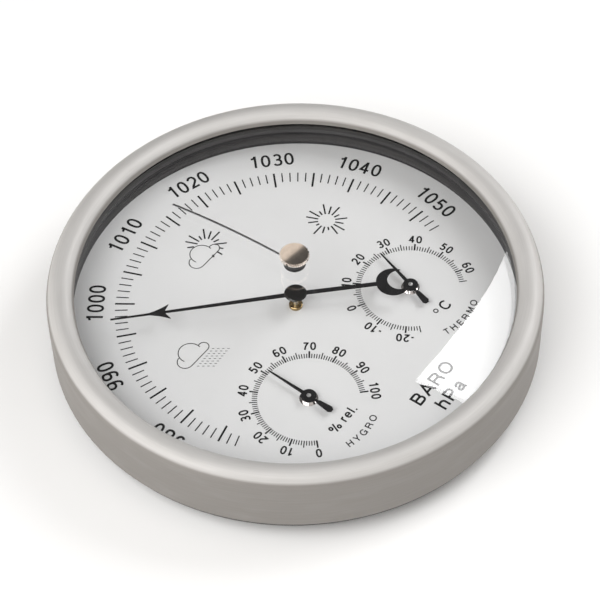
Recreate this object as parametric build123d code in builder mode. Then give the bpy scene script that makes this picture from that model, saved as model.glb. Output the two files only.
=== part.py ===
from build123d import *
import os
from math import cos, pi, radians, sin, sqrt

os.makedirs("parts", exist_ok=True)

# Aneroid barometer with a thermometer and a hygrometer on one dial.
# Frame: origin at the centre of the rear boss, +Z out of the dial, +Y to 12 o'clock, mm.

# ---------------------------------------------------------------- driving dimensions
case_r = 66.0              # outside radius of the steel case
shell = 0.8                # thickness of the drawn steel
rim_z = 6.5                # lower edge of the steel case, above the rear boss
case_h = 18.75             # height of the steel case
lip_r = 3.7                # outside radius of its half-round lip
lip_turn = 170.0           # degrees that the lip rolls over

dial_z = 12.8              # printed face of the dial
dial_t = 0.6
dial_r = 64.8
view_r = 60.0              # radius of the dial that stays visible

glass_z = 30.2             # top of the domed glass
glass_t = 1.6
dome_r = 214.0             # outside sphere of the dome
glass_edge_r = 61.6
glass_seat_z = 19.8        # flat ground rim that the glass stands on
stem_hole_r = 1.3

cover_t = 1.8              # rear cover's wall
boss_r = 55.0              # rear boss, at its face
flange_r = 65.4
flange_z = 5.2
plug_r = 65.1              # wall that plugs into the steel case
keyhole_y = 42.0
keyhole_r = 4.5
keyhole_slot = 4.4
keyhole_rise = 7.0

base_z = 2.6               # underside of the movement's base plate
base_t = 1.0
move_turn = 45.0           # the movement lies 45 degrees left of 12 o'clock
capsule_y = 27.0           # capsule's centre, from the arbor
capsule_r = 15.5
capsule_z = 6.6            # seam of the capsule's two halves
capsule_half = 2.2
leaf_z = 9.8               # underside of the main leaf spring
leaf_t = 0.5
bracket_y = 46.4
lever_y = 8.97             # link rod, from the arbor
lever_x = 4.0
eye_window = (2.4, 3.6)    # room for the link rod's eye, through the plates below it
rocker_y = 7.0
rocker_z = 5.2
rocker_arm = 5.0           # rocker shaft to the chain's hook
rocker_input = 2.0         # rocker shaft to the link rod's pin
rocker_lean = 9.22         # degrees that the rocker leans at the stored pressure
chain_r = 1.0              # chain's centre line, round the arbor's drum
drum_r = 0.85
bridge_z = 10.9
arbor_r = 0.6
run_fit = 0.05             # radial clearance of a turning shaft

baro_cw = -46.1            # pressure hand, degrees clockwise from 12 o'clock
hand_z = 17.6              # underside of the pressure hand
set_cw = 0.0               # set hand, over the glass
set_z = 30.45              # underside of its hub
set_tip_r = 41.3
knob_r = 3.95
knob_top = 34.2

sub_x = 23.1               # small dials, either side of 6 o'clock
sub_y = -21.4
sub_hand_z = 13.95

base_top = base_z + base_t
across = Vector(cos(radians(move_turn)), sin(radians(move_turn)), 0)
along = Vector(-sin(radians(move_turn)), cos(radians(move_turn)), 0)
movement = Plane(origin=(0, 0, 0), x_dir=across, z_dir=(0, 0, 1))
side = Plane(origin=(0, 0, 0), x_dir=along, z_dir=across)


def outline(plane, *points):
    """A straight-sided face on a plane."""
    with BuildSketch(plane, mode=Mode.PRIVATE) as face:
        with BuildLine():
            Polyline(*points, close=True)
        make_face()
    return face.sketch


def spiral_strip(plane, inner_r, outer_r, turns, thickness, end_deg):
    """The edge view of a flat spiral, which ends at the given angle."""
    steps = int(turns * 8)
    def rail(offset):
        points = []
        for i in range(steps + 1):
            share = i / steps
            angle = radians(end_deg) - 2 * pi * turns * (1 - share)
            radius = inner_r + (outer_r - inner_r) * share + offset
            points.append((radius * cos(angle), radius * sin(angle)))
        return points
    inside = rail(0)
    outside = rail(thickness)
    with BuildSketch(plane, mode=Mode.PRIVATE) as face:
        with BuildLine():
            Spline(*inside)
            Line(inside[-1], outside[-1])
            Spline(*outside[::-1])
            Line(outside[0], inside[0])
        make_face()
    return face.sketch


def pointing(clockwise, z, centre=(0, 0)):
    """A plane whose local x runs along a hand."""
    angle = radians(90 - clockwise)
    return Plane(origin=(centre[0], centre[1], z), x_dir=(cos(angle), sin(angle), 0), z_dir=(0, 0, 1))


def dome(radius, r):
    """Height of a dome's sphere at a distance from the axis."""
    return glass_z - dome_r + sqrt(radius**2 - r**2)


# ---------------------------------------------------------------- case, cover and glazing
bead_r = case_r - lip_r
bead_z = rim_z + case_h - lip_r
tip = radians(lip_turn)
with BuildPart() as case_ring:
    with BuildSketch(Plane.XZ):
        with BuildLine():
            inner_bead = lip_r - shell
            Line((case_r, rim_z), (case_r, bead_z))
            CenterArc((bead_r, bead_z), lip_r, 0, lip_turn)
            Line(
                (bead_r + lip_r * cos(tip), bead_z + lip_r * sin(tip)),
                (bead_r + inner_bead * cos(tip), bead_z + inner_bead * sin(tip)),
            )
            CenterArc((bead_r, bead_z), inner_bead, lip_turn, -lip_turn)
            Line((case_r - shell, bead_z), (case_r - shell, rim_z))
            Line((case_r - shell, rim_z), (case_r, rim_z))
        make_face()
    revolve(axis=Axis.Z)
case_ring.part.label = "case_ring"
export_step(case_ring.part, "parts/case_ring.step")

glass_in = dome_r - glass_t
seat_in_r = sqrt(glass_in**2 - (glass_seat_z - glass_z + dome_r) ** 2)
with BuildPart() as glass:
    with BuildSketch(Plane.XZ):
        with BuildLine():
            mid = 0.5 * (stem_hole_r + glass_edge_r)
            ThreePointArc(
                (stem_hole_r, dome(dome_r, stem_hole_r)),
                (mid, dome(dome_r, mid)),
                (glass_edge_r, dome(dome_r, glass_edge_r)),
            )
            Line((glass_edge_r, dome(dome_r, glass_edge_r)), (glass_edge_r, glass_seat_z))
            Line((glass_edge_r, glass_seat_z), (seat_in_r, glass_seat_z))
            low = 0.5 * (stem_hole_r + seat_in_r)
            ThreePointArc(
                (seat_in_r, glass_seat_z),
                (low, dome(glass_in, low)),
                (stem_hole_r, dome(glass_in, stem_hole_r)),
            )
            Line((stem_hole_r, dome(glass_in, stem_hole_r)), (stem_hole_r, dome(dome_r, stem_hole_r)))
        make_face()
    revolve(axis=Axis.Z)
glass.part.label = "glass"
export_step(glass.part, "parts/glass.step")

gasket_t = 0.7
gasket_top = 21.3
with BuildPart() as glass_gasket:
    revolve(
        outline(
            Plane.XZ,
            (view_r, glass_seat_z - gasket_t),
            (glass_edge_r + gasket_t, glass_seat_z - gasket_t),
            (glass_edge_r + gasket_t, gasket_top),
            (glass_edge_r, gasket_top),
            (glass_edge_r, glass_seat_z),
            (view_r, glass_seat_z),
        ),
        axis=Axis.Z,
    )
glass_gasket.part.label = "glass_gasket"
export_step(glass_gasket.part, "parts/glass_gasket.step")

spacer_top = glass_seat_z - gasket_t
spacer_wall = 1.4
spacer_out = 64.9
spacer_split = 0.6
spacer_split_cw = 228.0
with BuildPart() as spacer_ring:
    revolve(
        outline(
            Plane.XZ,
            (view_r, dial_z),
            (spacer_out, dial_z),
            (spacer_out, dial_z + spacer_wall),
            (view_r + spacer_wall, dial_z + spacer_wall),
            (view_r + spacer_wall, spacer_top - spacer_wall),
            (spacer_out, spacer_top - spacer_wall),
            (spacer_out, spacer_top),
            (view_r, spacer_top),
        ),
        axis=Axis.Z,
    )
    with BuildSketch(pointing(spacer_split_cw, dial_z)):
        with Locations((view_r + 2.5, 0)):
            Rectangle(8, spacer_split)
    extrude(amount=spacer_top - dial_z, mode=Mode.SUBTRACT)
spacer_ring.part.label = "spacer_ring"
export_step(spacer_ring.part, "parts/spacer_ring.step")

bush_body_r = 1.5
sub_body_r = 1.6
with BuildPart() as dial_plate:
    with BuildSketch(Plane.XY.offset(dial_z - dial_t)):
        Circle(dial_r)
        Circle(bush_body_r, mode=Mode.SUBTRACT)
        with Locations((-sub_x, sub_y), (sub_x, sub_y)):
            Circle(sub_body_r, mode=Mode.SUBTRACT)
    extrude(amount=dial_t)
dial_plate.part.label = "dial_plate"
export_step(dial_plate.part, "parts/dial_plate.step")

plate_screws = [(-8.5, -6.5), (8.5, -6.5), (-14.5, 31.0), (14.5, 31.0)]
plate_screw_r = 1.1
plate_head_r = 2.2
plate_head_z = 0.4         # head sits below the boss's face
plate_head_t = 1.0
adjuster_y = 45.4
notch_w = 5.6
vent_w = 1.6
vent_len = 12.0
with BuildPart() as rear_cover:
    revolve(
        outline(
            Plane.XZ,
            (0, 0),
            (boss_r, 0),
            (boss_r + 1.0, flange_z),
            (flange_r, flange_z),
            (flange_r, rim_z - 0.05),
            (plug_r, rim_z - 0.05),
            (plug_r, dial_z - dial_t),
            (plug_r - cover_t, dial_z - dial_t),
            (plug_r - cover_t, flange_z + cover_t),
            (boss_r - 0.6, flange_z + cover_t),
            (boss_r - 1.4, cover_t),
            (0, cover_t),
        ),
        axis=Axis.Z,
    )
    with BuildSketch(movement.offset(cover_t)):
        with Locations(*plate_screws):
            Circle(plate_head_r + 1.2)
    extrude(amount=base_z - cover_t)
    with BuildSketch(movement):
        with Locations(*plate_screws):
            Circle(plate_screw_r + 0.15)
    extrude(amount=base_z, mode=Mode.SUBTRACT)
    with BuildSketch(movement):
        with Locations(*plate_screws):
            Circle(plate_head_r + 0.2)
    extrude(amount=plate_head_z + plate_head_t, mode=Mode.SUBTRACT)
    with BuildSketch(movement):
        with Locations((0, adjuster_y)):
            Circle(2.0)
    extrude(amount=cover_t, mode=Mode.SUBTRACT)
    with BuildSketch(Plane.XY):
        with Locations((0, keyhole_y)):
            Circle(keyhole_r)
        with Locations((0, keyhole_y + keyhole_rise / 2)):
            Rectangle(keyhole_slot, keyhole_rise)
        with Locations((0, keyhole_y + keyhole_rise)):
            Circle(keyhole_slot / 2)
    extrude(amount=cover_t, mode=Mode.SUBTRACT)
    with BuildSketch(Plane.XY):
        with Locations((-sub_x, sub_y), (sub_x, sub_y)):
            with GridLocations(3.6, 1, 5, 1):
                SlotOverall(vent_len, vent_w, rotation=90)
    extrude(amount=cover_t, mode=Mode.SUBTRACT)
    with BuildSketch(Plane.XY.offset(flange_z)):
        with PolarLocations(flange_r, 4):
            Rectangle(3.2, notch_w)
    extrude(amount=rim_z - flange_z, mode=Mode.SUBTRACT)
rear_cover.part.label = "rear_cover"
export_step(rear_cover.part, "parts/rear_cover.step")

# ---------------------------------------------------------------- movement: plate and screws
with BuildPart() as movement_screws:
    with BuildSketch(movement.offset(plate_head_z)):
        with Locations(*plate_screws):
            Circle(plate_head_r)
    extrude(amount=plate_head_t)
    with BuildSketch(movement.offset(plate_head_z + plate_head_t)):
        with Locations(*plate_screws):
            Circle(plate_screw_r)
    extrude(amount=base_top - plate_head_z - plate_head_t)
    with BuildSketch(movement.offset(plate_head_z)):
        with Locations(*plate_screws):
            Rectangle(2.6, 0.5)
            Rectangle(0.5, 2.6)
    extrude(amount=0.6, mode=Mode.SUBTRACT)
movement_screws.part.label = "movement_screws"
export_step(movement_screws.part, "parts/movement_screws.step")

pillar_x = 8.0
pillar_spigot_r = 1.0
bracket_screw_x = 5.0
frame_screws = [(-3.4, 9.9), (0.4, 9.9)]
stud_r = 1.5
pivot_r = 0.35
pivot_hole_r = 0.39
adjuster_r = 1.45
stud_at = (0, -5.1)
with BuildPart() as base_plate:
    with BuildSketch(movement.offset(base_z)) as plate_face:
        with Locations((0, capsule_y)):
            Circle(18.0)
        with Locations((0, 20.25)):
            Rectangle(22, 59.5)
        fillet(plate_face.vertices(), 2.0)
        Circle(pivot_hole_r, mode=Mode.SUBTRACT)
        with Locations((-pillar_x, 0), (pillar_x, 0)):
            Circle(pillar_spigot_r, mode=Mode.SUBTRACT)
        with Locations(*plate_screws):
            Circle(plate_screw_r, mode=Mode.SUBTRACT)
        with Locations((0, capsule_y)):
            Circle(stud_r, mode=Mode.SUBTRACT)
        with Locations((0, adjuster_y)):
            Circle(adjuster_r + run_fit, mode=Mode.SUBTRACT)
        with Locations((lever_x, lever_y)):
            Rectangle(*eye_window, mode=Mode.SUBTRACT)
        with Locations(*frame_screws):
            Circle(0.7, mode=Mode.SUBTRACT)
        with Locations(stud_at):
            Circle(0.5, mode=Mode.SUBTRACT)
    extrude(amount=base_t)
    with Locations(movement.offset(base_z) * Location((-bracket_screw_x, bracket_y, 0), (180, 0, 0))):
        CounterSinkHole(radius=0.9, counter_sink_radius=1.7, depth=base_t)
    with Locations(movement.offset(base_z) * Location((bracket_screw_x, bracket_y, 0), (180, 0, 0))):
        CounterSinkHole(radius=0.9, counter_sink_radius=1.7, depth=base_t)
base_plate.part.label = "base_plate"
export_step(base_plate.part, "parts/base_plate.step")

adjuster_gap = 0.05
with BuildPart() as adjuster_screw:
    with BuildSketch(movement.offset(0.5)):
        with Locations((0, adjuster_y)):
            Circle(1.6)
    extrude(amount=cover_t + 0.1 - 0.5)
    with BuildSketch(movement.offset(cover_t + 0.1)):
        with Locations((0, adjuster_y)):
            Circle(2.4)
    extrude(amount=base_z - adjuster_gap - cover_t - 0.1)
    with BuildSketch(movement.offset(base_z - adjuster_gap)):
        with Locations((0, adjuster_y)):
            Circle(adjuster_r)
    extrude(amount=base_t)
    with BuildSketch(movement.offset(0.5)):
        with Locations((0, adjuster_y)):
            Rectangle(4, 0.5)
    extrude(amount=0.7, mode=Mode.SUBTRACT)
adjuster_screw.part.label = "adjuster_screw"
export_step(adjuster_screw.part, "parts/adjuster_screw.step")

# ---------------------------------------------------------------- movement: capsule
capsule_at = movement.from_local_coords((0, capsule_y, 0))
capsule_side = Plane(origin=capsule_at, x_dir=across, z_dir=-along)
capsule_axis = Axis(origin=capsule_at, direction=(0, 0, 1))
skin = 0.3
rim_in = capsule_r - 1.2


def diaphragm(direction):
    """Section of one corrugated half, as (radius, height) points; direction is 1 or -1."""
    upper = []
    lower = []
    for i in range(25):
        share = i / 24
        radius = 3.0 + (rim_in - 0.6 - 3.0) * share
        wave = 0.22 * (cos(2 * pi * 3 * share) - 1)
        height = capsule_half - 1.1 * share + wave
        upper.append((radius, capsule_z + direction * height))
        lower.append((radius, capsule_z + direction * (height - skin)))
    outer = [(0, capsule_z + direction * capsule_half)] + upper
    outer += [(rim_in, capsule_z + direction * skin), (capsule_r, capsule_z + direction * skin)]
    inner = [(capsule_r, capsule_z), (rim_in - 0.6, capsule_z)] + lower[::-1]
    inner += [(0, capsule_z + direction * (capsule_half - skin))]
    return outer + inner


with BuildPart() as capsule_stud:
    with BuildSketch(movement.offset(base_z)):
        with Locations((0, capsule_y)):
            Circle(stud_r)
    extrude(amount=base_t)
    with BuildSketch(movement.offset(base_top)):
        with Locations((0, capsule_y)):
            Circle(2.8)
    extrude(amount=capsule_z - capsule_half - base_top)
capsule_stud.part.label = "capsule_stud"
export_step(capsule_stud.part, "parts/capsule_stud.step")

with BuildPart() as lower_diaphragm:
    revolve(outline(capsule_side, *diaphragm(-1)), axis=capsule_axis)
lower_diaphragm.part.label = "lower_diaphragm"
export_step(lower_diaphragm.part, "parts/lower_diaphragm.step")

with BuildPart() as upper_diaphragm:
    revolve(outline(capsule_side, *diaphragm(1)), axis=capsule_axis)
upper_diaphragm.part.label = "upper_diaphragm"
export_step(upper_diaphragm.part, "parts/upper_diaphragm.step")

capsule_top = capsule_z + capsule_half
leaf_top = leaf_z + leaf_t
with BuildPart() as capsule_post:
    revolve(
        outline(
            capsule_side,
            (0, capsule_top),
            (2.2, capsule_top),
            (2.2, capsule_top + 0.3),
            (1.4, capsule_top + 0.3),
            (1.4, leaf_z),
            (0.8, leaf_z),
            (0.8, leaf_top),
            (1.3, leaf_top),
            (1.1, leaf_top + 0.5),
            (0, leaf_top + 0.5),
        ),
        axis=capsule_axis,
    )
capsule_post.part.label = "capsule_post"
export_step(capsule_post.part, "parts/capsule_post.step")

# ---------------------------------------------------------------- movement: main spring and lever
bracket_w = 14.0
bracket_wall = 1.2
bracket_in = 43.2
bracket_out = 49.5
with BuildPart() as spring_bracket:
    extrude(
        outline(
            side.offset(-bracket_w / 2),
            (bracket_in, base_top),
            (bracket_out, base_top),
            (bracket_out, leaf_z),
            (bracket_in, leaf_z),
            (bracket_in, leaf_z - bracket_wall),
            (bracket_out - bracket_wall, leaf_z - bracket_wall),
            (bracket_out - bracket_wall, base_top + bracket_wall),
            (bracket_in, base_top + bracket_wall),
        ),
        amount=bracket_w,
    )
    with BuildSketch(movement.offset(base_top)):
        with Locations((-bracket_screw_x, bracket_y), (bracket_screw_x, bracket_y)):
            Circle(0.9)
    extrude(amount=bracket_wall, mode=Mode.SUBTRACT)
    with BuildSketch(movement.offset(leaf_z - bracket_wall)):
        with Locations((-4, bracket_y), (4, bracket_y)):
            Circle(0.8)
    extrude(amount=bracket_wall, mode=Mode.SUBTRACT)
spring_bracket.part.label = "spring_bracket"
export_step(spring_bracket.part, "parts/spring_bracket.step")

with BuildPart() as bracket_screws:
    for x in (-bracket_screw_x, bracket_screw_x):
        spot = movement.from_local_coords((x, bracket_y, 0))
        revolve(
            outline(
                Plane(origin=spot, x_dir=across, z_dir=-along),
                (0, base_z),
                (1.7, base_z),
                (0.9, base_z + 0.8),
                (0.9, base_top + bracket_wall),
                (0, base_top + bracket_wall),
            ),
            axis=Axis(origin=spot, direction=(0, 0, 1)),
        )
bracket_screws.part.label = "bracket_screws"
export_step(bracket_screws.part, "parts/bracket_screws.step")

rivets = [(-2.5, 16.8), (2.5, 16.8)]
with BuildPart() as main_spring:
    extrude(
        outline(
            movement.offset(leaf_z),
            (-6.5, bracket_out),
            (6.5, bracket_out),
            (6.5, bracket_in),
            (5.0, 13.0),
            (-5.0, 13.0),
            (-6.5, bracket_in),
        ),
        amount=leaf_t,
    )
    with BuildSketch(movement.offset(leaf_z)):
        with Locations((0, capsule_y), (-4, bracket_y), (4, bracket_y)):
            Circle(0.8)
        with Locations(*rivets):
            Circle(0.7)
    extrude(amount=leaf_t, mode=Mode.SUBTRACT)
main_spring.part.label = "main_spring"
export_step(main_spring.part, "parts/main_spring.step")

clamp_t = 0.6
with BuildPart() as spring_clamp:
    with BuildSketch(movement.offset(leaf_top)):
        with Locations((0, bracket_y)):
            RectangleRounded(12.6, 5.0, 1.0)
        with Locations((-4, bracket_y), (4, bracket_y)):
            Circle(0.8, mode=Mode.SUBTRACT)
    extrude(amount=clamp_t)
spring_clamp.part.label = "spring_clamp"
export_step(spring_clamp.part, "parts/spring_clamp.step")

with BuildPart() as clamp_screws:
    with BuildSketch(movement.offset(leaf_z - bracket_wall)):
        with Locations((-4, bracket_y), (4, bracket_y)):
            Circle(0.8)
    extrude(amount=leaf_top + clamp_t - leaf_z + bracket_wall)
    with BuildSketch(movement.offset(leaf_top + clamp_t)):
        with Locations((-4, bracket_y), (4, bracket_y)):
            Circle(1.6)
    extrude(amount=0.8)
    with BuildSketch(movement.offset(leaf_top + clamp_t + 0.4)):
        with Locations((-4, bracket_y), (4, bracket_y)):
            Rectangle(4, 0.4)
    extrude(amount=0.4, mode=Mode.SUBTRACT)
clamp_screws.part.label = "clamp_screws"
export_step(clamp_screws.part, "parts/clamp_screws.step")

lever_t = 0.6
finger_w = 2.4
rod_r = 0.3
with BuildPart() as lever_arm:
    extrude(
        outline(
            movement.offset(leaf_top),
            (-4.5, 19.0),
            (lever_x + finger_w / 2, 19.0),
            (lever_x + finger_w / 2, lever_y - 1.0),
            (lever_x - finger_w / 2, lever_y - 1.0),
            (lever_x - finger_w / 2, 14.5),
            (-4.5, 14.5),
        ),
        amount=lever_t,
    )
    with BuildSketch(movement.offset(leaf_top)):
        with Locations(*rivets):
            Circle(0.7)
        with Locations((lever_x, lever_y)):
            Circle(rod_r)
    extrude(amount=lever_t, mode=Mode.SUBTRACT)
lever_arm.part.label = "lever_arm"
export_step(lever_arm.part, "parts/lever_arm.step")

with BuildPart() as lever_rivets:
    with BuildSketch(movement.offset(leaf_z)):
        with Locations(*rivets):
            Circle(0.7)
    extrude(amount=leaf_t + lever_t)
    with BuildSketch(movement.offset(leaf_z - 0.4)):
        with Locations(*rivets):
            Circle(1.2)
    extrude(amount=0.4)
    with BuildSketch(movement.offset(leaf_top + lever_t)):
        with Locations(*rivets):
            Circle(1.2)
    extrude(amount=0.4)
lever_rivets.part.label = "lever_rivets"
export_step(lever_rivets.part, "parts/lever_rivets.step")

lean = radians(rocker_lean)
pin_y = rocker_y + rocker_input * cos(lean)
pin_z = rocker_z + rocker_input * sin(lean)
eye_r = 1.0
eye_hole_r = 0.65
eye_t = 0.5
with BuildPart() as link_rod:
    with BuildSketch(side.offset(lever_x - eye_t / 2)):
        with Locations((lever_y, pin_z)):
            Circle(eye_r)
    extrude(amount=eye_t)
    with BuildSketch(movement.offset(pin_z + eye_r - 0.2)):
        with Locations((lever_x, lever_y)):
            Circle(rod_r)
    extrude(amount=leaf_top + lever_t - pin_z - eye_r + 0.2)
    with BuildSketch(movement.offset(leaf_top + lever_t)):
        with Locations((lever_x, lever_y)):
            Circle(0.7)
    extrude(amount=0.4)
    with BuildSketch(side.offset(lever_x - eye_t / 2)):
        with Locations((lever_y, pin_z)):
            Circle(eye_hole_r)
    extrude(amount=eye_t, mode=Mode.SUBTRACT)
link_rod.part.label = "link_rod"
export_step(link_rod.part, "parts/link_rod.step")

# ---------------------------------------------------------------- movement: rocker and chain
hook_y = rocker_y - rocker_arm * sin(lean)
hook_z = rocker_z + rocker_arm * cos(lean)
hub_r = 0.95
hook_r = 0.45
arm_t = 0.5
cheek_in = 5.6
cheek_t = 0.8
input_x = lever_x - 1.1
with BuildPart() as rocker_shaft:
    with BuildSketch(side.offset(-cheek_in + 0.1)):
        with Locations((rocker_y, rocker_z)):
            Circle(0.6)
    extrude(amount=2 * cheek_in - 0.2)
    with BuildSketch(side.offset(-cheek_in - cheek_t - 0.1)):
        with Locations((rocker_y, rocker_z)):
            Circle(pivot_r)
    extrude(amount=2 * (cheek_in + cheek_t + 0.1))
    for plane_x, end_y, end_z, end_r in (
        (-chain_r - arm_t / 2, hook_y, hook_z, hook_r),
        (input_x, pin_y, pin_z, 0.5),
    ):
        with BuildSketch(side.offset(plane_x)):
            with Locations((rocker_y, rocker_z)):
                Circle(hub_r)
            with Locations((end_y, end_z)):
                Circle(end_r)
            with BuildLine():
                Line((rocker_y, rocker_z), (end_y, end_z))
            trace(line_width=0.6)
        extrude(amount=arm_t)
    with BuildSketch(side.offset(input_x)):
        with Locations((pin_y, pin_z)):
            Circle(0.3)
    extrude(amount=1.8)
rocker_shaft.part.label = "rocker_shaft"
export_step(rocker_shaft.part, "parts/rocker_shaft.step")

floor_t = 0.55
frame_y0 = 5.6
frame_y1 = 8.4
with BuildPart() as rocker_frame:
    with BuildSketch(movement.offset(base_top)):
        with Locations((0, (frame_y0 + frame_y1) / 2)):
            Rectangle(2 * (cheek_in + cheek_t), frame_y1 - frame_y0)
        with Locations((-1.5, frame_y1 + 1.4)):
            Rectangle(6.6, 3.2)
        with Locations((lever_x, lever_y)):
            Rectangle(*eye_window, mode=Mode.SUBTRACT)
        with Locations(*frame_screws):
            Circle(0.7, mode=Mode.SUBTRACT)
    extrude(amount=floor_t)
    for start in (-cheek_in - cheek_t, cheek_in):
        with BuildSketch(side.offset(start)):
            with Locations(((frame_y0 + frame_y1) / 2, base_top + 1.6)):
                Rectangle(frame_y1 - frame_y0, 3.2)
            with Locations((rocker_y, rocker_z)):
                Circle(pivot_hole_r, mode=Mode.SUBTRACT)
        extrude(amount=cheek_t)
rocker_frame.part.label = "rocker_frame"
export_step(rocker_frame.part, "parts/rocker_frame.step")

with BuildPart() as rocker_frame_screws:
    with BuildSketch(movement.offset(base_z)):
        with Locations(*frame_screws):
            Circle(0.7)
    extrude(amount=base_t + floor_t)
    with BuildSketch(movement.offset(base_top + floor_t)):
        with Locations(*frame_screws):
            Circle(1.2)
    extrude(amount=0.6)
    with BuildSketch(movement.offset(base_top + floor_t + 0.3)):
        with Locations(*frame_screws):
            Rectangle(3, 0.3)
    extrude(amount=0.3, mode=Mode.SUBTRACT)
rocker_frame_screws.part.label = "rocker_frame_screws"
export_step(rocker_frame_screws.part, "parts/rocker_frame_screws.step")

link_len = 0.9
link_step = 0.7
chain_start = 0.1
chain_end = hook_y - hook_r
links = int((chain_end - chain_start) / link_step)
with BuildPart() as chain:
    for i in range(links):
        middle = chain_end - link_len / 2 - i * link_step
        width, height = (0.14, 0.3) if i % 2 else (0.26, 0.14)
        with BuildSketch(movement.offset(hook_z - height / 2)):
            with Locations((-chain_r, middle)):
                Rectangle(width, link_len)
        extrude(amount=height)
chain.part.label = "chain"
export_step(chain.part, "parts/chain.step")

# ---------------------------------------------------------------- movement: pointer arbor
collet_r = 1.3
collet_z = 6.8
with BuildPart() as pointer_arbor:
    revolve(
        outline(
            Plane.XZ,
            (0, base_z + 0.1),
            (pivot_r, base_z + 0.1),
            (pivot_r, base_top + 0.05),
            (arbor_r, base_top + 0.05),
            (arbor_r, 9.2),
            (1.5, 9.2),
            (1.5, 9.5),
            (drum_r, 9.5),
            (drum_r, 10.5),
            (1.5, 10.5),
            (1.5, 10.8),
            (arbor_r, 10.8),
            (arbor_r, hand_z + 0.3),
            (0, hand_z + 0.3),
        ),
        axis=Axis.Z,
    )
pointer_arbor.part.label = "pointer_arbor"
export_step(pointer_arbor.part, "parts/pointer_arbor.step")

with BuildPart() as hairspring_collet:
    with BuildSketch(Plane.XY.offset(collet_z)):
        Circle(collet_r)
        Circle(arbor_r, mode=Mode.SUBTRACT)
    extrude(amount=1.4)
hairspring_collet.part.label = "hairspring_collet"
export_step(hairspring_collet.part, "parts/hairspring_collet.step")

hair_out = 4.45
hair_t = 0.15
with BuildPart() as hairspring:
    strip = spiral_strip(movement.offset(collet_z + 0.3), collet_r, hair_out - hair_t, 5, hair_t, -90)
    extrude(strip, amount=0.8)
hairspring.part.label = "hairspring"
export_step(hairspring.part, "parts/hairspring.step")

with BuildPart() as hairspring_stud:
    with BuildSketch(movement.offset(base_z)):
        with Locations(stud_at):
            Circle(0.5)
    extrude(amount=base_t)
    with BuildSketch(movement.offset(base_top)):
        with Locations(stud_at):
            Circle(-stud_at[1] - hair_out)
    extrude(amount=collet_z + 1.8 - base_top)
hairspring_stud.part.label = "hairspring_stud"
export_step(hairspring_stud.part, "parts/hairspring_stud.step")

bridge_t = 0.7
with BuildPart() as bridge_pillars:
    for x in (-pillar_x, pillar_x):
        spot = movement.from_local_coords((x, 0, 0))
        revolve(
            outline(
                Plane(origin=spot, x_dir=across, z_dir=-along),
                (0, base_z),
                (pillar_spigot_r, base_z),
                (pillar_spigot_r, base_top),
                (1.8, base_top),
                (1.8, base_top + 0.6),
                (1.5, base_top + 0.9),
                (1.5, bridge_z),
                (0.8, bridge_z),
                (0.8, bridge_z - 2.4),
                (0, bridge_z - 2.4),
            ),
            axis=Axis(origin=spot, direction=(0, 0, 1)),
        )
bridge_pillars.part.label = "bridge_pillars"
export_step(bridge_pillars.part, "parts/bridge_pillars.step")

with BuildPart() as arbor_bridge:
    with BuildSketch(movement.offset(bridge_z)):
        SlotCenterToCenter(2 * pillar_x, 5.0)
        Circle(arbor_r + run_fit, mode=Mode.SUBTRACT)
        with Locations((-pillar_x, 0), (pillar_x, 0)):
            Circle(0.8, mode=Mode.SUBTRACT)
    extrude(amount=bridge_t)
arbor_bridge.part.label = "arbor_bridge"
export_step(arbor_bridge.part, "parts/arbor_bridge.step")

with BuildPart() as bridge_screws:
    with BuildSketch(movement.offset(bridge_z - 2.0)):
        with Locations((-pillar_x, 0), (pillar_x, 0)):
            Circle(0.8)
    extrude(amount=2.0 + bridge_t)
    with BuildSketch(movement.offset(bridge_z + bridge_t)):
        with Locations((-pillar_x, 0), (pillar_x, 0)):
            Circle(1.4)
    extrude(amount=0.5)
    with BuildSketch(movement.offset(bridge_z + bridge_t + 0.25)):
        with Locations((-pillar_x, 0), (pillar_x, 0)):
            Rectangle(3.2, 0.3)
    extrude(amount=0.25, mode=Mode.SUBTRACT)
bridge_screws.part.label = "bridge_screws"
export_step(bridge_screws.part, "parts/bridge_screws.step")

# ---------------------------------------------------------------- pressure hand
with BuildPart() as arbor_bush:
    revolve(
        outline(
            Plane.XZ,
            (arbor_r + run_fit, dial_z - dial_t - 0.5),
            (2.2, dial_z - dial_t - 0.5),
            (2.2, dial_z - dial_t),
            (bush_body_r, dial_z - dial_t),
            (bush_body_r, dial_z),
            (1.85, dial_z),
            (1.85, dial_z + 0.8),
            (1.7, dial_z + 0.9),
            (arbor_r + run_fit, dial_z + 0.9),
        ),
        axis=Axis.Z,
    )
arbor_bush.part.label = "arbor_bush"
export_step(arbor_bush.part, "parts/arbor_bush.step")

with BuildPart() as hand_collet:
    with BuildSketch(Plane.XY.offset(hand_z - 1.8)):
        Circle(1.2)
        Circle(arbor_r, mode=Mode.SUBTRACT)
    extrude(amount=1.8)
hand_collet.part.label = "hand_collet"
export_step(hand_collet.part, "parts/hand_collet.step")

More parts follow.
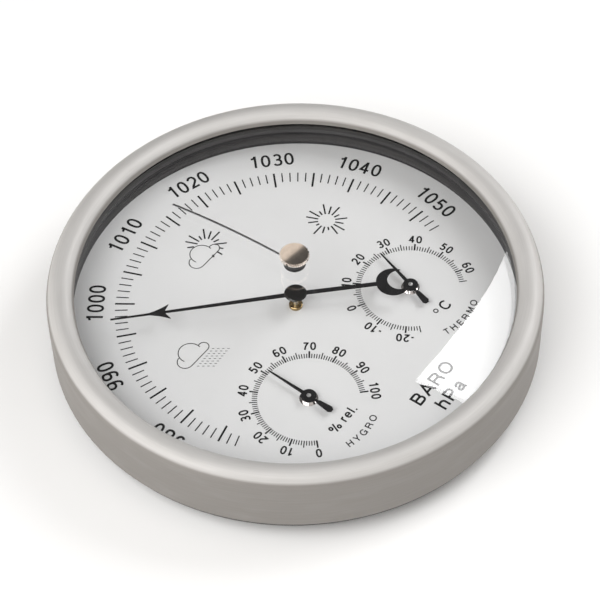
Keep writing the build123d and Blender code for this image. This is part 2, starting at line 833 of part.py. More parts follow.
baro_tip = 49.7
head_point = 39.4          # where the arrow head runs into the needle
head_mid = 36.7
barb_r = 33.9
barb_w = 2.42
neck_r = 35.3
moon_at = -26.4            # counterweight disc, hung a little to one side of the shaft
moon_side = 0.55
moon_r = 4.6
moon_hole_at = -28.35
moon_hole_side = 0.15
moon_hole_r = 3.4
cap_r = 3.05
with BuildPart() as baro_hand:
    with BuildSketch(pointing(baro_cw, hand_z)) as baro_face:
        with BuildLine():
            Polyline((0, -0.65), (neck_r, -0.33), (neck_r, 0.33), (0, 0.65), close=True)
        make_face()
        with BuildLine():
            Polyline(
                (0, 0.63),
                (moon_at, moon_side + 0.6),
                (moon_at, moon_side - 0.6),
                (0, -0.63),
                close=True,
            )
        make_face()
        with BuildLine():
            Line((neck_r - 0.1, 0.33), (neck_r - 0.1, -0.33))
            Line((neck_r - 0.1, -0.33), (barb_r + 0.2, 0.35 - barb_w))
            Line((barb_r + 0.2, 0.35 - barb_w), (barb_r, -barb_w))
            ThreePointArc((barb_r, -barb_w), (head_mid, -1.1), (head_point, -0.28))
            Line((head_point, -0.28), (baro_tip, -0.2))
            Line((baro_tip, -0.2), (baro_tip, 0.2))
            Line((baro_tip, 0.2), (head_point, 0.28))
            ThreePointArc((head_point, 0.28), (head_mid, 1.1), (barb_r, barb_w))
            Line((barb_r, barb_w), (barb_r + 0.2, barb_w - 0.35))
            Line((barb_r + 0.2, barb_w - 0.35), (neck_r - 0.1, 0.33))
        make_face()
        with Locations((moon_at, moon_side)):
            Circle(moon_r)
        Circle(1.6)
        with Locations((moon_hole_at, moon_hole_side)):
            Circle(moon_hole_r, mode=Mode.SUBTRACT)
        Circle(arbor_r, mode=Mode.SUBTRACT)
    extrude(amount=0.3)
baro_hand.part.label = "baro_hand"
export_step(baro_hand.part, "parts/baro_hand.step")

cap_z = hand_z + 0.3
with BuildPart() as baro_hub_cap:
    revolve(
        outline(
            Plane.XZ,
            (0, cap_z),
            (cap_r - 0.1, cap_z),
            (cap_r, cap_z + 0.1),
            (cap_r, cap_z + 0.2),
            (cap_r - 0.35, cap_z + 0.5),
            (0, cap_z + 0.5),
        ),
        axis=Axis.Z,
    )
baro_hub_cap.part.label = "baro_hub_cap"
export_step(baro_hub_cap.part, "parts/baro_hub_cap.step")

# ---------------------------------------------------------------- thermometer and hygrometer
coil_in = 1.1
coil_out = 8.35
coil_t = 0.3
coil_z = 6.6
coil_h = 2.8
sub_arbor_r = 0.6
sub_hub_t = 0.4
sub_frame_r = 10.5
sub_frame_t = 0.8
rivet_t = 0.5
sub_hub_r = 2.05


def sub_instrument(name, x, y, clockwise, tip_r, tail_r):
    """A coil-driven pointer hung under the dial: frame, bush, coil, arbor and hand."""
    under = dial_z - dial_t
    frame_z = under - sub_frame_t
    axis = Axis(origin=(x, y, 0), direction=(0, 0, 1))
    upright = Plane(origin=(x, y, 0), x_dir=(1, 0, 0), z_dir=(0, -1, 0))

    with BuildPart() as sub_frame:
        with BuildSketch(Plane(origin=(x, y, frame_z))):
            Circle(sub_frame_r)
            with PolarLocations(6.2, 3, start_angle=90):
                Circle(2.6, mode=Mode.SUBTRACT)
            Circle(sub_body_r, mode=Mode.SUBTRACT)
        extrude(amount=sub_frame_t)
        with BuildSketch(Plane(origin=(x, y, coil_z - 0.6))):
            with Locations((coil_out + coil_t + 0.5, 0)):
                Rectangle(1.0, 3.0)
        extrude(amount=frame_z - coil_z + 0.6)
    sub_frame.part.label = f"{name}_frame"
    export_step(sub_frame.part, f"parts/{name}_frame.step")

    with BuildPart() as sub_bush:
        profile = outline(
            upright,
            (sub_arbor_r + run_fit, frame_z - rivet_t),
            (2.3, frame_z - rivet_t),
            (2.3, frame_z),
            (sub_body_r, frame_z),
            (sub_body_r, dial_z),
            (2.5, dial_z),
            (2.5, dial_z + 0.3),
            (2.0, dial_z + 0.3),
            (2.0, dial_z + 1.05),
            (sub_arbor_r + run_fit, dial_z + 1.05),
        )
        revolve(profile, axis=axis)
    sub_bush.part.label = f"{name}_bush"
    export_step(sub_bush.part, f"parts/{name}_bush.step")

    with BuildPart() as sub_arbor:
        profile = outline(
            upright,
            (0, coil_z - 0.8),
            (sub_arbor_r, coil_z - 0.8),
            (sub_arbor_r, coil_z - 0.2),
            (coil_in, coil_z - 0.2),
            (coil_in, frame_z - rivet_t - 0.1),
            (sub_arbor_r, frame_z - rivet_t - 0.1),
            (sub_arbor_r, sub_hand_z + sub_hub_t + 0.1),
            (0, sub_hand_z + sub_hub_t + 0.2),
        )
        revolve(profile, axis=axis)
    sub_arbor.part.label = f"{name}_arbor"
    export_step(sub_arbor.part, f"parts/{name}_arbor.step")

    with BuildPart() as sub_coil:
        strip = spiral_strip(Plane(origin=(x, y, coil_z)), coil_in, coil_out, 6, coil_t, 0)
        extrude(strip, amount=coil_h)
    sub_coil.part.label = f"{name}_coil"
    export_step(sub_coil.part, f"parts/{name}_coil.step")

    with BuildPart() as sub_hand:
        with BuildSketch(pointing(clockwise, sub_hand_z, (x, y))):
            with BuildLine():
                Polyline((0, -0.52), (tip_r, -0.15), (tip_r, 0.15), (0, 0.52), close=True)
            make_face()
            with BuildLine():
                Polyline(
                    (0, 0.35),
                    (-2.7, 0.3),
                    (-3.3, 0.62),
                    (-tail_r + 0.7, 0.96),
                    (-tail_r, 0.45),
                    (-tail_r, -0.45),
                    (-tail_r + 0.7, -0.96),
                    (-3.3, -0.62),
                    (-2.7, -0.3),
                    (0, -0.35),
                    close=True,
                )
            make_face()
        extrude(amount=0.3)
        with BuildSketch(pointing(clockwise, sub_hand_z, (x, y))):
            Circle(sub_hub_r)
        extrude(amount=sub_hub_t)
        with BuildSketch(pointing(clockwise, sub_hand_z, (x, y))):
            Circle(sub_arbor_r)
        extrude(amount=sub_hub_t, mode=Mode.SUBTRACT)
    sub_hand.part.label = f"{name}_hand"
    export_step(sub_hand.part, f"parts/{name}_hand.step")


sub_instrument("thermo", sub_x, sub_y, 18.8, 13.55, 7.6)
sub_instrument("hygro", -sub_x, sub_y, 2.2, 13.5, 7.7)

# ---------------------------------------------------------------- set hand, over the glass
stem_r = 0.8
stem_low = 27.9
washer_z = 28.2
lip_z = 28.35              # the bush snaps through the hole and grips the glass from below
bush_lip_r = 1.45
collar_r = 2.95
collar_z = 30.75
knob_low = 32.95
knob_bore_top = 33.6
knurls = 40
knurl_depth = 0.38
with BuildPart() as glass_bush:
    revolve(
        outline(
            Plane.XZ,
            (stem_r + run_fit, lip_z),
            (bush_lip_r, lip_z),
            (bush_lip_r, glass_z - glass_t - 0.03),
            (stem_hole_r, glass_z - glass_t - 0.03),
            (stem_hole_r, glass_z),
            (collar_r, glass_z),
            (collar_r, set_z - 0.03),
            (stem_r + run_fit, set_z - 0.03),
        ),
        axis=Axis.Z,
    )
glass_bush.part.label = "glass_bush"
export_step(glass_bush.part, "parts/glass_bush.step")

with BuildPart() as set_knob:
    star = []
    for i in range(2 * knurls):
        radius = knob_r if i % 2 else knob_r - knurl_depth
        star.append((radius * cos(pi * i / knurls), radius * sin(pi * i / knurls)))
    extrude(outline(Plane.XY.offset(knob_low), *star), amount=knob_top - knob_low)
    revolve(
        outline(
            Plane.XZ,
            (0, knob_low),
            (knob_r - 0.15, knob_low),
            (knob_r + 0.05, knob_low + 0.2),
            (knob_r + 0.05, knob_top - 0.1),
            (knob_r - 0.05, knob_top),
            (0, knob_top),
        ),
        axis=Axis.Z,
        mode=Mode.INTERSECT,
    )
    with BuildSketch(Plane.XY.offset(knob_low)):
        Circle(stem_r)
    extrude(amount=knob_bore_top - knob_low, mode=Mode.SUBTRACT)
set_knob.part.label = "set_knob"
export_step(set_knob.part, "parts/set_knob.step")

with BuildPart() as set_collar:
    revolve(
        outline(
            Plane.XZ,
            (stem_r, collar_z),
            (collar_r - 0.1, collar_z),
            (collar_r, collar_z + 0.1),
            (collar_r, knob_low),
            (stem_r, knob_low),
        ),
        axis=Axis.Z,
    )
set_collar.part.label = "set_collar"
export_step(set_collar.part, "parts/set_collar.step")

with BuildPart() as set_stem:
    with BuildSketch(Plane.XY.offset(stem_low)):
        Circle(stem_r)
    extrude(amount=knob_bore_top - stem_low)
set_stem.part.label = "set_stem"
export_step(set_stem.part, "parts/set_stem.step")

set_face = pointing(set_cw, 0)
set_side = Plane(origin=(0, 0, 0), x_dir=set_face.x_dir, z_dir=-set_face.y_dir)
set_hub_r = 2.6
set_hand_t = collar_z - set_z
arm_w = 0.54
arm_r = dome_r + 0.4       # the arm follows the glass


def over_glass(r):
    """Height of the underside of the set hand's arm."""
    return set_z - arm_r + sqrt(arm_r**2 - r**2)


with BuildPart() as set_hand:
    with BuildSketch(set_side.offset(-arm_w / 2)):
        with BuildLine():
            near = stem_r + 0.5
            half = set_tip_r / 2
            ThreePointArc(
                (near, over_glass(near)),
                (half, over_glass(half)),
                (set_tip_r, over_glass(set_tip_r)),
            )
            Line(
                (set_tip_r, over_glass(set_tip_r)),
                (set_tip_r, over_glass(set_tip_r) + set_hand_t),
            )
            ThreePointArc(
                (set_tip_r, over_glass(set_tip_r) + set_hand_t),
                (half, over_glass(half) + set_hand_t),
                (near, over_glass(near) + set_hand_t),
            )
            Line((near, over_glass(near) + set_hand_t), (near, over_glass(near)))
        make_face()
    extrude(amount=arm_w)
    with BuildSketch(Plane.XY.offset(set_z)):
        Circle(set_hub_r)
        Circle(stem_r, mode=Mode.SUBTRACT)
    extrude(amount=set_hand_t)
set_hand.part.label = "set_hand"
export_step(set_hand.part, "parts/set_hand.step")

with BuildPart() as set_spring_washer:
    with BuildSketch(Plane.XY.offset(washer_z)):
        Circle(1.2)
        Circle(stem_r, mode=Mode.SUBTRACT)
    extrude(amount=lip_z - washer_z - 0.02)
set_spring_washer.part.label = "set_spring_washer"
export_step(set_spring_washer.part, "parts/set_spring_washer.step")

with BuildPart() as set_nut:
    with BuildSketch(Plane.XY.offset(stem_low)):
        Circle(1.05)
        Circle(stem_r, mode=Mode.SUBTRACT)
    extrude(amount=washer_z - stem_low)
set_nut.part.label = "set_nut"
export_step(set_nut.part, "parts/set_nut.step")
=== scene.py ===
import math

import bmesh
import bpy
from mathutils import Matrix, Vector


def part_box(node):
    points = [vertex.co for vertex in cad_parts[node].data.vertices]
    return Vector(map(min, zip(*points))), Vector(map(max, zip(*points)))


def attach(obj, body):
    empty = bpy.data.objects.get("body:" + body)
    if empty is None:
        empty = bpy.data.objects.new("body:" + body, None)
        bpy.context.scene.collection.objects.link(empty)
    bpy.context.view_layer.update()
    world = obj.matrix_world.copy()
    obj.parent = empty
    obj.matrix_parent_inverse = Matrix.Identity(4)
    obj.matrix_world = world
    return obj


# Looks of an aneroid barometer: its printed dial, its finishes and the studio around it.
# Lengths in the drawing of the dial are in millimetres, from the dial's centre, +Y to 12 o'clock.

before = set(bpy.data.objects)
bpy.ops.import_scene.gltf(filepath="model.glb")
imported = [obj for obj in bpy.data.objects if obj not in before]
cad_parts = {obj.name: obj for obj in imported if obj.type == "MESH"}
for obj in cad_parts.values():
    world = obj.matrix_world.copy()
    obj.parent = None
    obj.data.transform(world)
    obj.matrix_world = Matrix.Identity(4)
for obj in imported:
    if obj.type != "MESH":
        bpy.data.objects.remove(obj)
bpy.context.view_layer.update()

MM = 0.001
DIAL_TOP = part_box("dial_plate")[1][2]


def middle(node):
    """Where a CAD node's centre is on the dial, in millimetres."""
    low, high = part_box(node)
    return Vector(((low[0] + high[0]) / 2 / MM, (low[1] + high[1]) / 2 / MM))


MAIN = Vector((0, 0))
THERMO = middle("thermo_bush")
HYGRO = middle("hygro_bush")


# ---------------------------------------------------------------- strokes and glyphs
PEN = 0.17           # a letter's stroke, as a share of its capital height
ROUND = 2.25         # 2 is an ellipse, and more is squarer


def arc(x, y, half_width, half_height, start, end, power=ROUND):
    """Points along a bowl, between two angles in degrees."""
    steps = max(3, round(abs(end - start) / 15))
    points = []
    for i in range(steps + 1):
        angle = math.radians(start + (end - start) * i / steps)
        c = math.cos(angle)
        s = math.sin(angle)
        points.append((
            x + half_width * math.copysign(abs(c) ** (2 / power), c),
            y + half_height * math.copysign(abs(s) ** (2 / power), s),
        ))
    return points


def ring(x, y, half_width, half_height, power=ROUND):
    """Points once round a bowl, from its top."""
    return arc(x, y, half_width, half_height, 90, 450, power)


def curve(*points, steps=5):
    """A smooth line through points (Catmull-Rom)."""
    points = [Vector(point) for point in points]
    padded = [2 * points[0] - points[1], *points, 2 * points[-1] - points[-2]]
    smooth = [points[0]]
    for a, b, c, d in zip(padded, padded[1:], padded[2:], padded[3:]):
        for i in range(1, steps + 1):
            t = i / steps
            smooth.append(0.5 * (
                2 * b + (c - a) * t + (2 * a - 5 * b + 4 * c - d) * t**2
                + (3 * b - a - 3 * c + d) * t**3
            ))
    return [tuple(point) for point in smooth]


def upside_down(strokes):
    """A glyph's strokes turned by half a turn, as a 6 turns into a 9."""
    return [[(-x, 1 - y) for x, y in stroke] for stroke in strokes]


def bowl(stem, bend, width, low, high):
    """The stroke from a stem round a bowl and back, between two heights."""
    centre = (low + high) / 2
    half = (high - low) / 2
    return [(stem, high)] + arc(bend, centre, width, half, 90, -90) + [(stem, low)]


TOP = 1 - PEN / 2     # centre line of a stroke along the top of a capital
FOOT = PEN / 2
SIX = [arc(0, 0.5, 0.225, 0.44, 48, 205), ring(0, 0.30, 0.22, 0.24)]

FIGURE = 0.744        # a figure's advance

# Each glyph has its advance and its strokes. The capital height is 1 and x = 0 is its middle.
GLYPHS = {
    "0": (FIGURE, [ring(0, 0.5, 0.225, 0.44)]),
    "1": (FIGURE, [
        [(0.085, 0), (0.085, 1)],
        curve((-0.17, 0.775), (-0.06, 0.79), (0.03, 0.85), (0.07, 0.97)),
    ]),
    "2": (FIGURE, [
        arc(0, 0.685, 0.215, 0.255, 165, -15)
        + curve((0.15, 0.50), (0, 0.345), (-0.14, 0.21), (-0.215, FOOT)) + [(0.235, FOOT)],
    ]),
    "3": (FIGURE, [
        arc(-0.005, 0.725, 0.195, 0.215, 150, -90) + [(-0.08, 0.51)],
        arc(0, 0.285, 0.225, 0.225, 90, -155),
    ]),
    "4": (FIGURE, [[(0.07, 0.95), (-0.235, 0.30), (0.27, 0.30)], [(0.085, 0), (0.085, 1)]]),
    "5": (FIGURE, [
        [(0.19, TOP), (-0.145, TOP), (-0.19, 0.47)],
        arc(-0.005, 0.315, 0.225, 0.255, 138, -150),
    ]),
    "6": (FIGURE, SIX),
    "7": (FIGURE, [
        [(-0.235, TOP), (0.225, TOP)] + curve((0.225, 0.90), (0.07, 0.64), (-0.03, 0.34), (-0.075, 0)),
    ]),
    "8": (FIGURE, [ring(0, 0.725, 0.185, 0.215), ring(0, 0.285, 0.22, 0.225)]),
    "9": (FIGURE, upside_down(SIX)),
    "-": (0.42, [[(-0.13, 0.36), (0.13, 0.36)]]),
    " ": (0.387, []),
    ".": (0.387, [[(0, 0), (0, PEN)]]),
    "°": (0.56, [ring(0, 0.82, 0.16, 0.16, 2)]),
    "%": (1.24, [
        ring(-0.38, 0.75, 0.16, 0.185),
        ring(0.38, 0.25, 0.16, 0.185),
        [(0.2, 1), (-0.2, 0)],
    ]),
    "A": (0.93, [[(-0.40, 0), (0, 0.97), (0.40, 0)], [(-0.27, 0.33), (0.27, 0.33)]]),
    "B": (0.93, [
        [(-0.33, 0), (-0.33, 1)],
        bowl(-0.33, 0.06, 0.22, 0.5225, TOP),
        bowl(-0.33, 0.08, 0.25, FOOT, 0.5225),
    ]),
    "C": (1.0, [arc(0.02, 0.5, 0.385, 0.44, 36, 324)]),
    "E": (0.93, [
        [(-0.27, 0), (-0.27, 1)],
        [(-0.27, TOP), (0.30, TOP)],
        [(-0.27, 0.52), (0.27, 0.52)],
        [(-0.27, FOOT), (0.31, FOOT)],
    ]),
    "G": (1.08, [
        arc(-0.01, 0.5, 0.39, 0.44, 36, 335),
        [(0.06, 0.46), (0.365, 0.46), (0.365, 0)],
    ]),
    "H": (1.0, [[(-0.33, 0), (-0.33, 1)], [(0.33, 0), (0.33, 1)], [(-0.33, 0.52), (0.33, 0.52)]]),
    "M": (1.16, [
        [(-0.40, 0), (-0.40, 1)],
        [(-0.37, 0.97), (0, 0.09), (0.37, 0.97)],
        [(0.40, 0), (0.40, 1)],
    ]),
    "O": (1.08, [ring(0, 0.5, 0.43, 0.44, 2.1)]),
    "P": (0.93, [
        [(-0.32, 0), (-0.32, 1)],
        bowl(-0.32, 0.06, 0.26, 0.4425, TOP),
    ]),
    "R": (1.0, [
        [(-0.35, 0), (-0.35, 1)],
        bowl(-0.35, 0.07, 0.25, 0.4875, TOP),
        curve((0.07, 0.4875), (0.26, 0.42), (0.32, 0.25), (0.36, 0)),
    ]),
    "T": (0.85, [[(-0.36, TOP), (0.36, TOP)], [(0, 0), (0, TOP)]]),
    "Y": (0.93, [[(-0.36, 1), (0, 0.42), (0.36, 1)], [(0, 0), (0, 0.42)]]),
    "a": (0.775, [
        curve((-0.24, 0.50), (-0.16, 0.63), (0.0, 0.665), (0.16, 0.62), (0.205, 0.50), (0.205, 0.18),
              (0.24, 0.07), (0.33, 0.065)),
        curve((0.20, 0.415), (-0.02, 0.365), (-0.22, 0.32), (-0.275, 0.19), (-0.18, 0.07), (0.02, 0.075),
              (0.19, 0.21)),
    ]),
    "e": (0.775, [[(-0.24, 0.37), (0.24, 0.37)] + arc(0, 0.36, 0.25, 0.30, 15, 318)]),
    "h": (0.775, [
        [(-0.26, 0), (-0.26, 1)],
        arc(0.0, 0.44, 0.26, 0.22, 165, 0) + [(0.26, 0)],
    ]),
    "l": (0.31, [[(0, 0), (0, 1)]]),
    "r": (0.46, [
        [(-0.12, 0), (-0.12, 0.72)],
        curve((-0.12, 0.42), (-0.07, 0.58), (0.03, 0.66), (0.16, 0.665)),
    ]),
}


# ---------------------------------------------------------------- ink on the dial
INK = 0.02 * MM       # how far the ink stands over the dial
BITE = 0.01 * MM      # how far it reaches into the dial's lacquer
SHARPEST = 0.42       # keeps the point of a sharp corner short


def ribbon_edges(points, width, closed):
    """The left and right edge of a ribbon along the points, with mitred corners."""
    left = []
    right = []
    last = len(points) - 1
    for i, point in enumerate(points):
        before = points[i - 1] if i or closed else None
        after = points[(i + 1) % len(points)] if i < last or closed else None
        into = (point - before).normalized() if before is not None else (after - point).normalized()
        out = (after - point).normalized() if after is not None else into
        along = (into + out).normalized()
        across = Vector((-along.y, along.x))
        reach = width / 2 / max(across.dot(Vector((-out.y, out.x))), SHARPEST)
        left.append(point + across * reach)
        right.append(point - across * reach)
    return left, right


class Printing:
    """Ink of one colour, which becomes one closed mesh on the dial."""

    def __init__(self, name):
        self.name = name
        self.points = []
        self.faces = []

    def stroke(self, points, width, closed=False):
        """A ribbon of ink along the points, in millimetres."""
        points = [Vector(point) for point in points]
        if (points[0] - points[-1]).length < width / 100:
            points.pop()
            closed = True
        first = len(self.points)
        for left, right in zip(*ribbon_edges(points, width, closed)):
            for edge, height in ((left, -BITE), (right, -BITE), (right, INK), (left, INK)):
                self.points.append((edge.x * MM, edge.y * MM, DIAL_TOP + height))
        count = len(points)
        for i in range(count if closed else count - 1):
            a = first + 4 * i
            b = first + 4 * ((i + 1) % count)
            for side in range(4):
                after = (side + 1) % 4
                self.faces.append((a + side, a + after, b + after, b + side))
        if not closed:
            end = first + 4 * (count - 1)
            self.faces.append((first + 3, first + 2, first + 1, first))
            self.faces.append((end, end + 1, end + 2, end + 3))

    def radial(self, centre, clockwise, inner, outer, width):
        """A straight mark that points away from a centre."""
        way = direction(clockwise)
        self.stroke([centre + way * inner, centre + way * outer], width)

    def glyph(self, letter, centre, clockwise, cap, weight=PEN):
        """A letter whose middle is at the centre, with its top turned clockwise from 12 o'clock."""
        up = direction(clockwise)
        right = direction(clockwise + 90)
        for stroke in GLYPHS[letter][1]:
            placed = [centre + (right * x + up * (y - 0.5)) * cap for x, y in stroke]
            self.stroke(placed, cap * weight)

    def line_of_text(self, text, centre, clockwise, cap, tracking=0.0, weight=PEN):
        """A straight word, centred."""
        advances = [GLYPHS[letter][0] * cap + tracking for letter in text]
        along = -sum(advances) / 2
        for letter, advance in zip(text, advances):
            spot = centre + direction(clockwise + 90) * (along + advance / 2)
            self.glyph(letter, spot, clockwise, cap, weight)
            along += advance

    def arc_of_text(self, text, centre, radius, clockwise, cap, tracking):
        """A word on an arc below a centre, with its tops towards the centre."""
        advances = [GLYPHS[letter][0] * cap + tracking for letter in text]
        along = -sum(advances) / 2
        for letter, advance in zip(text, advances):
            angle = clockwise - math.degrees((along + advance / 2) / radius)
            self.glyph(letter, centre + direction(angle) * radius, angle + 180, cap)
            along += advance

    def make(self, ink):
        """The finished piece, which rides on the case."""
        mesh = bpy.data.meshes.new(self.name)
        mesh.from_pydata(self.points, [], self.faces)
        shape = bmesh.new()
        shape.from_mesh(mesh)
        bmesh.ops.recalc_face_normals(shape, faces=shape.faces)
        shape.to_mesh(mesh)
        shape.free()
        mesh.materials.append(ink)
        piece = bpy.data.objects.new(self.name, mesh)
        bpy.context.scene.collection.objects.link(piece)
        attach(piece, "case")
        return piece


def direction(clockwise):
    """The way on the dial at an angle clockwise from 12 o'clock."""
    angle = math.radians(clockwise)
    return Vector((math.sin(angle), math.cos(angle)))


TOP_PRESSURE = 1013   # hPa at 12 o'clock
PRESSURE_STEP = 2.7   # degrees for each hPa
PRESSURE_FIGURES = 53.85
THERMO_STEP = 3.0     # degrees for each degree C
HYGRO_STEP = 2.7      # degrees for each per cent


def pressure_ticks():
    """The marks of the pressure scale, long at every fifth hPa."""
    ticks = Printing("pressure_scale_ticks")
    for pressure in range(973, 1054):
        clockwise = (pressure - TOP_PRESSURE) * PRESSURE_STEP
        inner, outer, width = (43.4, 48.7, 0.55) if pressure % 5 == 0 else (45.2, 48.6, 0.34)
        ticks.radial(MAIN, clockwise, inner, outer, width)
    return ticks


def pressure_figures():
    """The figures outside the pressure scale, with their tops outwards."""
    figures = Printing("pressure_scale_figures")
    for pressure in range(980, 1051, 10):
        clockwise = (pressure - TOP_PRESSURE) * PRESSURE_STEP
        spot = direction(clockwise) * PRESSURE_FIGURES
        figures.line_of_text(str(pressure), spot, clockwise, 4.5, weight=0.15)
    return figures


SMALL_INNER = 13.4
SMALL_FIGURES = 17.4


def small_scale(name, centre, values, zero, step):
    """The ring of marks and figures round a small dial; step is degrees for each unit."""
    ticks = Printing(name + "_ticks")
    figures = Printing(name + "_figures")
    for value in values:
        clockwise = (value - zero) * step
        if value % 10 == 0:
            ticks.radial(centre, clockwise, SMALL_INNER, 15.7, 0.46)
            spot = centre + direction(clockwise) * SMALL_FIGURES
            figures.line_of_text(str(value), spot, clockwise, 2.5, 0.12, weight=0.19)
        elif value % 5 == 0:
            ticks.radial(centre, clockwise, SMALL_INNER, 15.55, 0.30)
        else:
            ticks.radial(centre, clockwise, SMALL_INNER, 14.85, 0.27)
    return ticks, figures


BIG_CAP = 3.75        # capital height of the words at 6 o'clock
ARC_CAP = 1.9         # and of the words under the small dials
ARC_RADIUS = 17.7


def words():
    """The dial's plain words and units."""
    text = Printing("dial_words")
    text.line_of_text("BARO", Vector((-0.05, -44.4)), 0, BIG_CAP, 0.5)
    text.line_of_text("hPa", Vector((-0.3, -50.3)), 0, BIG_CAP, 0.5)
    text.line_of_text("% rel.", HYGRO + Vector((0, -10.95)), 0, 2.55, 0.2, weight=0.18)
    text.glyph("C", THERMO + Vector((0.5, -10.9)), 0, 3.1)
    text.glyph("°", THERMO + Vector((-2.6, -11.3)), 0, BIG_CAP, 0.08)
    text.arc_of_text("HYGRO", HYGRO, ARC_RADIUS, 180.7, ARC_CAP, 0.6)
    text.arc_of_text("THERMO", THERMO, ARC_RADIUS, 181.4, ARC_CAP, 0.6)
    return text


CLOUD_PEN = 0.25
RAIN_PEN = 0.16
RAY_PEN = 0.45


def cloud(symbols, dome):
    """The outline of a cloud round the centre of its dome."""
    top = arc(0, 0, 3.2, 3.2, 190, -15, 2)
    left = arc(-3.07, -0.84, 2.2, 2.16, 90, 270, 2)
    right = arc(3.65, -1.56, 1.55, 1.44, -63, 107, 2)
    for outline in (top, left + [(3.65, -3.0)] + right):
        symbols.stroke([dome + Vector(point) for point in outline], CLOUD_PEN)


def rain(symbols, dome):
    """Slanting lines of short dashes under a cloud."""
    first = Vector((-2.4, -4.2))
    next_line = Vector((0.99, 0.065))
    next_dash = Vector((0.80, -1.09))
    dash = Vector((0.37, -0.50))
    for line in range(8):
        for row in range(4):
            start = dome + first + next_line * line + next_dash * row
            symbols.stroke([start, start + dash], RAIN_PEN)


SUN_RAYS = (6.0, 3.95, 6.1, 5.3, 6.1, 4.1, 5.8, 4.8, 6.1, 5.8, 3.6, 4.8, 6.1, 3.4, 5.2, 5.9)


def sun(symbols, centre, hidden=()):
    """Rays of uneven length round an open disc, clockwise from the top, without the hidden ones."""
    for i, reach in enumerate(SUN_RAYS):
        if i not in hidden:
            symbols.radial(centre, i * 360 / len(SUN_RAYS), 2.4, reach, RAY_PEN)


def weather_symbols():
    """Rain on the left, a sun behind a cloud at the top and a full sun on the right."""
    symbols = Printing("weather_symbols")
    rain_cloud = Vector((-29.3, 12.98))
    cloud(symbols, rain_cloud)
    rain(symbols, rain_cloud)
    sun(symbols, Vector((29.5, 11.3)))
    mixed = Vector((-0.52, 31.9))
    cloud(symbols, mixed)
    half_sun = Vector((2.67, 32.86))
    sun(symbols, half_sun, hidden=range(7, 15))
    shown_ends = ((157.5, 3.7, 5.0), (180, 3.8, 5.7), (205, 3.9, 4.9), (315, 3.3, 5.2))
    for clockwise, inner, outer in shown_ends:
        symbols.radial(half_sun, clockwise, inner, outer, RAY_PEN)
    return symbols


# ---------------------------------------------------------------- finishes
def set_range(node, start, end, low, high):
    """Sets a Map Range node to go from low at start to high at end."""
    node.inputs["From Min"].default_value = start
    node.inputs["From Max"].default_value = end
    node.inputs["To Min"].default_value = low
    node.inputs["To Max"].default_value = high


class Finish:
    """One procedural material, built round a Principled shader."""

    def __init__(self, name, colour, **plain):
        self.material = bpy.data.materials.new(name)
        self.material.use_nodes = True
        self.nodes = self.material.node_tree.nodes
        self.shader = self.nodes["Principled BSDF"]
        self.set("Base Color", (*colour, 1))
        for socket, value in plain.items():
            self.set(socket.replace("_", " "), value)
        self.place = self.add("ShaderNodeTexCoord").outputs["Object"]

    def add(self, kind, **settings):
        node = self.nodes.new(kind)
        for name, value in settings.items():
            setattr(node, name, value)
        return node

    def set(self, socket, value):
        self.shader.inputs[socket].default_value = value

    def link(self, output, target):
        self.material.node_tree.links.new(output, target)

    def feed(self, socket, output):
        self.link(output, self.shader.inputs[socket])

    def vector(self, operation, first, second=None, scale=None):
        node = self.add("ShaderNodeVectorMath", operation=operation)
        self.link(first, node.inputs[0])
        if second is not None:
            node.inputs[1].default_value = second
        if scale is not None:
            node.inputs["Scale"].default_value = scale
        return node

    def maths(self, operation, first, second):
        node = self.add("ShaderNodeMath", operation=operation)
        for socket, value in zip(node.inputs, (first, second)):
            if isinstance(value, (int, float)):
                socket.default_value = value
            else:
                self.link(value, socket)
        return node.outputs[0]

    def noise(self, per_metre, detail=2.0, stretch=(1, 1, 1)):
        """Noise with a number of waves to the metre, drawn out along an axis by its stretch."""
        node = self.add("ShaderNodeTexNoise")
        node.inputs["Scale"].default_value = per_metre
        node.inputs["Detail"].default_value = detail
        self.link(self.vector("MULTIPLY", self.place, stretch).outputs[0], node.inputs["Vector"])
        return node.outputs["Fac"]

    def turned(self, per_metre, around, centre=(0, 0), detail=2.0):
        """Noise in rings about an upright axis, as a lathe leaves it."""
        moved = self.vector("SUBTRACT", self.place, (centre[0] * MM, centre[1] * MM, 0)).outputs[0]
        flat = self.vector("MULTIPLY", moved, (1, 1, 0)).outputs[0]
        radius = self.vector("LENGTH", flat).outputs["Value"]
        unit = self.vector("NORMALIZE", flat).outputs[0]
        circle = self.vector("SCALE", unit, scale=around).outputs[0]
        rise = self.vector("MULTIPLY", moved, (0, 0, per_metre)).outputs[0]
        both = self.add("ShaderNodeVectorMath", operation="ADD")
        self.link(circle, both.inputs[0])
        self.link(rise, both.inputs[1])
        node = self.add("ShaderNodeTexNoise", noise_dimensions="4D")
        node.inputs["Scale"].default_value = 1
        node.inputs["Detail"].default_value = detail
        self.link(both.outputs[0], node.inputs["Vector"])
        self.link(self.maths("MULTIPLY", radius, per_metre), node.inputs["W"])
        return node.outputs["Fac"]

    def spread(self, value, low, high, start=0.25, end=0.75):
        """The value's middle range, spread from low to high."""
        node = self.add("ShaderNodeMapRange")
        self.link(value, node.inputs["Value"])
        set_range(node, start, end, low, high)
        return node.outputs["Result"]

    def mottle(self, value, dark, light):
        """Colour that varies between a dark and a light tone."""
        node = self.add("ShaderNodeValToRGB")
        node.color_ramp.elements[0].position = 0.3
        node.color_ramp.elements[0].color = (*dark, 1)
        node.color_ramp.elements[1].position = 0.7
        node.color_ramp.elements[1].color = (*light, 1)
        self.link(value, node.inputs["Fac"])
        self.feed("Base Color", node.outputs["Color"])

    def bump(self, height, depth):
        """Relief of a depth in millimetres."""
        node = self.add("ShaderNodeBump")
        node.inputs["Distance"].default_value = depth * MM
        self.link(height, node.inputs["Height"])
        self.feed("Normal", node.outputs["Normal"])


def shade(colour, factor):
    """A colour made darker or lighter by a factor."""
    return tuple(channel * factor for channel in colour)


